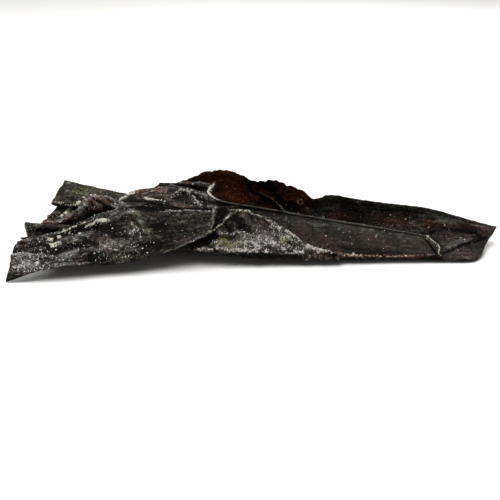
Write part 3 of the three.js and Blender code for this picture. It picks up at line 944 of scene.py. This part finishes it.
def lay_sheet(name, sheet, sizes, looks):
    """A grid laid on the fold, with its marks, made a sheet of the blade's thickness."""
    bpy.ops.object.select_all(action="DESELECT")
    along = sheet.cells_along
    across = sheet.cells_across
    bpy.ops.mesh.primitive_grid_add(x_subdivisions=along, y_subdivisions=across, size=1)
    piece = bpy.context.object
    piece.name = name
    mesh = piece.data
    flat = np.empty(len(mesh.vertices) * 3)
    mesh.vertices.foreach_get("co", flat)
    flat = flat.reshape(-1, 3)
    i = np.rint((flat[:, 0] + 0.5) * along).astype(int)
    j = np.rint((flat[:, 1] + 0.5) * across).astype(int)
    order = i * (across + 1) + j
    placed = (sheet.points[order] - BLADE_MIDDLE) * MM
    placed[:, 2] = np.maximum(placed[:, 2], 0.5 * sizes.thickness + TABLE_GAP)
    mesh.vertices.foreach_set("co", placed.ravel())
    for mark, values in {**sheet.marks, "high": sheet.high}.items():
        layer = mesh.attributes.new(mark, "FLOAT", "POINT")
        layer.data.foreach_set("value", values[order].astype(np.float32))
    layer = mesh.attributes.new("lie", "FLOAT_VECTOR", "POINT")
    layer.data.foreach_set("vector", (sheet.lie[order] * MM).astype(np.float32).ravel())
    sides = ("first", "last", "left", "right")
    borders = np.maximum.reduce([sheet.edge(side, RIM_BAND) for side in sides])
    thin = piece.vertex_groups.new(name="thickness")
    weights = (1 - RIM_THINNING * borders)[order]
    for index, weight in enumerate(weights.tolist()):
        thin.add([index], weight, "REPLACE")
    mesh.update()
    for finish in skin_finishes(looks):
        mesh.materials.append(finish)
    solid = piece.modifiers.new("thickness", "SOLIDIFY")
    solid.thickness = sizes.thickness
    solid.offset = 0
    solid.vertex_group = "thickness"
    solid.material_offset = 1
    solid.material_offset_rim = 2
    bpy.ops.object.modifier_apply(modifier="thickness")
    bpy.ops.object.shade_smooth_by_angle(angle=SMOOTH_ANGLE)
    fade_far_side(mesh)
    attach(piece, "root")
    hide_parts("kelp_blade")


SALT_SEED = 12
MOST_SALT = 1.3
STRAY_SALT = 0.006
STEEPEST_SALTED = -0.3
GRAIN_SPREAD = 0.45
LARGEST_GRAIN = 2.2
GRAIN_RADII = (0.35, 0.6)
GRAIN_LIFT = 0.25
OCTAHEDRON = np.array([(1, 0, 0), (-1, 0, 0), (0, 1, 0),
                       (0, -1, 0), (0, 0, 1), (0, 0, -1)], float)
OCTAHEDRON_FACES = np.array([(4, 0, 2), (4, 2, 1), (4, 1, 3), (4, 3, 0),
                             (5, 2, 0), (5, 1, 2), (5, 3, 1), (5, 0, 3)])


def salty_faces(sheet):
    """Each face's middle, normal and chance of a grain, on the faces that don't look down."""
    mesh = sheet.data
    count = len(mesh.polygons)
    centres = np.empty(count * 3)
    normals = np.empty(count * 3)
    areas = np.empty(count)
    first = np.empty(count, int)
    mesh.polygons.foreach_get("center", centres)
    mesh.polygons.foreach_get("normal", normals)
    mesh.polygons.foreach_get("area", areas)
    mesh.polygons.foreach_get("loop_start", first)
    corner = np.empty(len(mesh.loops), int)
    mesh.loops.foreach_get("vertex_index", corner)
    salt = np.empty(len(mesh.vertices))
    mesh.attributes["salt"].data.foreach_get("value", salt)
    normals = normals.reshape(-1, 3)
    amount = np.clip(salt[corner[first]], 0, MOST_SALT)
    chance = areas * (STRAY_SALT + amount**3) * (normals[:, 2] > STEEPEST_SALTED)
    return centres.reshape(-1, 3), normals, chance


class KelpSizes(bpy.types.PropertyGroup):
    """Sizes of the blade."""

    thickness: FloatProperty(name="Thickness", description="Thickness of the dried sheet",
                             default=0.0011, min=0.0004, max=0.003, precision=4, unit="LENGTH")
    trough_cell: FloatProperty(name="Trough cell", description="Size of the trough's mesh cells",
                               default=0.00085, min=0.0005, max=0.005, precision=5, unit="LENGTH")
    cell: FloatProperty(name="Cell", description="Size of the other sheets' mesh cells",
                        default=0.0006, min=0.0004, max=0.005, precision=5, unit="LENGTH")
    wrinkle: FloatProperty(name="Wrinkles", description="Depth of the wrinkles, 1 as dried",
                           default=1.0, min=0, max=3, subtype="FACTOR")
    grains: IntProperty(name="Salt grains", description="Number of loose salt grains",
                        default=2000, min=0)
    grain_size: FloatProperty(name="Grain size", description="Mean width of a salt grain",
                              default=0.00042, min=0.0001, max=0.003, precision=5, unit="LENGTH")


class KelpLooks(bpy.types.PropertyGroup):
    """Colours and gloss."""

    skin_dark: FloatVectorProperty(name="Dark skin", description="Darkest skin", subtype="COLOR",
                                   default=(0.013, 0.012, 0.010), min=0, max=1)
    # Slate grey on the raised places: partly scuffed skin, partly a painted highlight.
    skin_slate: FloatVectorProperty(name="Slate skin", description="Rubbed grey on the high places",
                                    subtype="COLOR", default=(0.058, 0.056, 0.045), min=0, max=1)
    skin_plum: FloatVectorProperty(name="Plum skin", description="Brown and purple clouds",
                                   subtype="COLOR", default=(0.033, 0.023, 0.020), min=0, max=1)
    skin_olive: FloatVectorProperty(name="Olive skin", description="Olive patches", subtype="COLOR",
                                    default=(0.043, 0.044, 0.028), min=0, max=1)
    moss: FloatVectorProperty(name="Yellow olive", description="Brightest olive patches",
                              subtype="COLOR", default=(0.125, 0.120, 0.048), min=0, max=1)
    # Painted shade: the colour that creases, hollows and shaded places are darkened towards.
    crease_shade: FloatVectorProperty(name="Crease", description="Skin down in the creases", subtype="COLOR",
                                default=(0.0026, 0.0022, 0.0016), min=0, max=1)
    # Amber: partly the thin sheet's own colour, partly painted glow of light coming through it.
    amber: FloatVectorProperty(name="Amber", description="Thin sheet that light comes through",
                               subtype="COLOR", default=(0.056, 0.0150, 0.0068), min=0, max=1)
    amber_bright: FloatVectorProperty(name="Bright amber", description="The thinnest, brightest sheet",
                                      subtype="COLOR", default=(0.098, 0.0305, 0.012), min=0, max=1)
    # Pale cut edges and scuffs, and painted highlights.
    pale_edge_and_highlight: FloatVectorProperty(name="Worn edge", description="Pale cut and rubbed edges",
                                   subtype="COLOR", default=(0.68, 0.63, 0.51), min=0, max=1)
    dust: FloatVectorProperty(name="Dust", description="Thin film of dried salt", subtype="COLOR",
                              default=(0.20, 0.165, 0.15), min=0, max=1)
    salt: FloatVectorProperty(name="Salt", description="Salt bloom", subtype="COLOR",
                              default=(0.68, 0.64, 0.62), min=0, max=1)
    crystal: FloatVectorProperty(name="Crystals", description="Loose salt grains", subtype="COLOR",
                                 default=(0.82, 0.80, 0.77), min=0, max=1)
    skin_roughness: FloatProperty(name="Roughness", description="Roughness of the bare skin",
                                  default=0.55, min=0, max=1, subtype="FACTOR")
    sheen: FloatProperty(name="Sheen", description="Strength of the bare skin's reflections",
                         default=0.03, min=0, max=1, subtype="FACTOR")
    glint: FloatProperty(name="Glints", description="Strength of the glossy patches' reflections",
                         default=0.65, min=0, max=1, subtype="FACTOR")
    glint_roughness: FloatProperty(name="Glint roughness",
                                   description="Roughness of the glossy patches",
                                   default=0.27, min=0, max=1, subtype="FACTOR")
    bump_depth: FloatProperty(name="Grain depth", description="Depth of the skin's fine grain",
                              default=0.0009, min=0, max=0.005, precision=5, unit="LENGTH")
    table: FloatVectorProperty(name="Table", description="Pale table", subtype="COLOR",
                               default=(0.86, 0.855, 0.84), min=0, max=1)


class FoldOperator:
    """What the operators of the folds share."""

    bl_options = {"REGISTER", "UNDO"}

    cell_setting = "cell"

    def build(self, context, make_sheet):
        """Lays the piece, on a grid with cells of the size set for it."""
        sizes = context.scene.kelp_sizes
        cell = getattr(sizes, self.cell_setting)
        sheet = make_sheet(cell / MM, sizes.wrinkle)
        lay_sheet(self.piece_name, sheet, sizes, context.scene.kelp_looks)
        return {"FINISHED"}


class KELP_OT_trough(FoldOperator, bpy.types.Operator):
    """Lay the long open trough with its back and front walls"""

    bl_idname = "kelp.trough"
    bl_label = "Trough"
    piece_name = "kelp_trough"
    cell_setting = "trough_cell"

    def execute(self, context):
        return self.build(context, trough_sheet)


class KELP_OT_middle(FoldOperator, bpy.types.Operator):
    """Lay the domed fold over the middle"""

    bl_idname = "kelp.middle"
    bl_label = "Middle fold"
    piece_name = "kelp_middle"

    def execute(self, context):
        return self.build(context, middle_sheet)


class KELP_OT_apron(FoldOperator, bpy.types.Operator):
    """Lay the broad front sheet at the left"""

    bl_idname = "kelp.apron"
    bl_label = "Front sheet"
    piece_name = "kelp_front_sheet"

    def execute(self, context):
        return self.build(context, apron_sheet)


class KELP_OT_flap(FoldOperator, bpy.types.Operator):
    """Lay the salty flap against the front wall"""

    bl_idname = "kelp.flap"
    bl_label = "Front flap"
    piece_name = "kelp_front_flap"

    def execute(self, context):
        return self.build(context, flap_sheet)


class KELP_OT_pleats(FoldOperator, bpy.types.Operator):
    """Lay the crumpled pleats of the left end"""

    bl_idname = "kelp.pleats"
    bl_label = "Pleats"
    piece_name = "kelp_pleats"

    def execute(self, context):
        return self.build(context, pleats_sheet)


class KELP_OT_salt(bpy.types.Operator):
    """Scatter loose salt grains over the laid sheets, thickest where the bloom is"""

    bl_idname = "kelp.salt"
    bl_label = "Salt grains"
    bl_options = {"REGISTER", "UNDO"}

    def execute(self, context):
        sizes = context.scene.kelp_sizes
        sheets = [bpy.data.objects.get(step.piece_name) for step in SHEET_STEPS]
        if None in sheets:
            raise RuntimeError("the sheets have to be laid before the salt")
        draws = np.random.default_rng(SALT_SEED)
        spots = [np.concatenate(part) for part in zip(*map(salty_faces, sheets))]
        places, normals, chances = spots
        chances = chances / chances.sum()
        chosen = draws.choice(len(places), sizes.grains, replace=False, p=chances)
        corners = []
        faces = []
        for place, normal in zip(places[chosen], normals[chosen]):
            size = sizes.grain_size * min(float(draws.lognormal(0, GRAIN_SPREAD)), LARGEST_GRAIN)
            middle = place + normal * GRAIN_LIFT * size
            stretch = size * draws.uniform(*GRAIN_RADII, (len(OCTAHEDRON), 1))
            turn = Matrix.Rotation(draws.uniform(0, math.tau), 3, draws.normal(size=3).tolist())
            points = middle + (OCTAHEDRON * stretch) @ np.array(turn)
            faces.extend(OCTAHEDRON_FACES + len(corners) * len(OCTAHEDRON))
            corners.append(points)
        mesh = bpy.data.meshes.new("salt_grains")
        mesh.from_pydata(np.concatenate(corners).tolist(), [], [face.tolist() for face in faces])
        mesh.materials.append(grain_finish(context.scene.kelp_looks))
        grains = bpy.data.objects.new("salt_grains", mesh)
        context.collection.objects.link(grains)
        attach(grains, "root")
        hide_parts("kelp_blade")
        return {"FINISHED"}


class KELP_OT_stage(bpy.types.Operator):
    """Make the pale table, the soft lights and the camera"""

    bl_idname = "kelp.stage"
    bl_label = "Stage"
    bl_options = {"REGISTER", "UNDO"}

    def execute(self, context):
        looks = context.scene.kelp_looks
        bpy.ops.object.select_all(action="DESELECT")
        bpy.ops.mesh.primitive_plane_add(size=TABLE_SIDE)
        table = context.object
        table.name = "table"
        table_top = plain_finish("table_top", tuple(looks.table), TABLE_ROUGHNESS)
        table.data.materials.append(table_top)
        context.scene.world = sky()
        add_sun()
        for softbox in SOFTBOXES:
            add_softbox(*softbox)
        add_camera(context)
        context.scene.view_settings.view_transform = "Standard"
        return {"FINISHED"}


def sky():
    """A faint all-round light, which the camera itself sees as plain white paper."""
    studio = Finish(bpy.data.worlds.new("studio"))
    light = studio.node("ShaderNodeBackground", None, {"Color": PAPER, "Strength": SKY_LIGHT})
    paper = studio.node("ShaderNodeBackground", None, {"Color": PAPER})
    to_camera = studio.node("ShaderNodeLightPath").outputs["Is Camera Ray"]
    inputs = {0: to_camera, 1: light.outputs[0], 2: paper.outputs[0]}
    return studio.done(studio.node("ShaderNodeMixShader", None, inputs), "ShaderNodeOutputWorld")


def add_sun():
    """A broad soft light from above."""
    bpy.ops.object.light_add(type="SUN", rotation=SUN_TURN)
    sun = bpy.context.object
    sun.name = "soft_sky"
    sun.data.energy = SUN_POWER
    sun.data.angle = SUN_SPREAD


def add_softbox(name, place, side, power):
    """A square softbox that faces the blade."""
    bpy.ops.object.light_add(type="AREA", location=place)
    lamp = bpy.context.object
    lamp.name = name
    lamp.data.size = side
    lamp.data.energy = power
    lamp.rotation_euler = (-Vector(place)).to_track_quat("-Z", "Y").to_euler()


def add_camera(context):
    """The camera at the photograph's place."""
    right, up, back = camera_axes()
    place = (CAMERA_AIM + CAMERA_DISTANCE * back - BLADE_MIDDLE) * MM
    turn = Matrix((right.tolist(), up.tolist(), back.tolist())).transposed()
    bpy.ops.object.camera_add(location=place.tolist())
    camera = context.object
    camera.name = "camera"
    camera.data.sensor_width = SENSOR
    camera.data.lens = SENSOR * CAMERA_DISTANCE / STEP / PICTURE_SIDE
    camera.data.clip_start = NEAREST_SEEN
    camera.rotation_euler = turn.to_euler()
    context.scene.camera = camera


class KELP_PT_panel(bpy.types.Panel):
    """Sizes, colours and the steps of the kelp blade"""

    bl_label = "Kelp"
    bl_idname = "KELP_PT_panel"
    bl_space_type = "VIEW_3D"
    bl_region_type = "UI"
    bl_category = "Kelp"

    def draw(self, context):
        for group in (context.scene.kelp_sizes, context.scene.kelp_looks):
            column = self.layout.column()
            for key in group.__annotations__:
                column.prop(group, key)
        for step in STEPS:
            self.layout.operator(step.bl_idname)


SHEET_STEPS = (KELP_OT_trough, KELP_OT_middle, KELP_OT_apron, KELP_OT_flap, KELP_OT_pleats)
STEPS = (*SHEET_STEPS, KELP_OT_salt, KELP_OT_stage)
CLASSES = (KelpSizes, KelpLooks, *STEPS, KELP_PT_panel)


def register():
    for kind in CLASSES:
        bpy.utils.register_class(kind)
    bpy.types.Scene.kelp_sizes = PointerProperty(type=KelpSizes)
    bpy.types.Scene.kelp_looks = PointerProperty(type=KelpLooks)


def unregister():
    del bpy.types.Scene.kelp_looks
    del bpy.types.Scene.kelp_sizes
    for kind in reversed(CLASSES):
        bpy.utils.unregister_class(kind)


def main():
    register()
    bpy.ops.kelp.trough()
    bpy.ops.kelp.middle()
    bpy.ops.kelp.apron()
    bpy.ops.kelp.flap()
    bpy.ops.kelp.pleats()
    bpy.ops.kelp.salt()
    bpy.ops.kelp.stage()


if __name__ == "__main__":
    main()
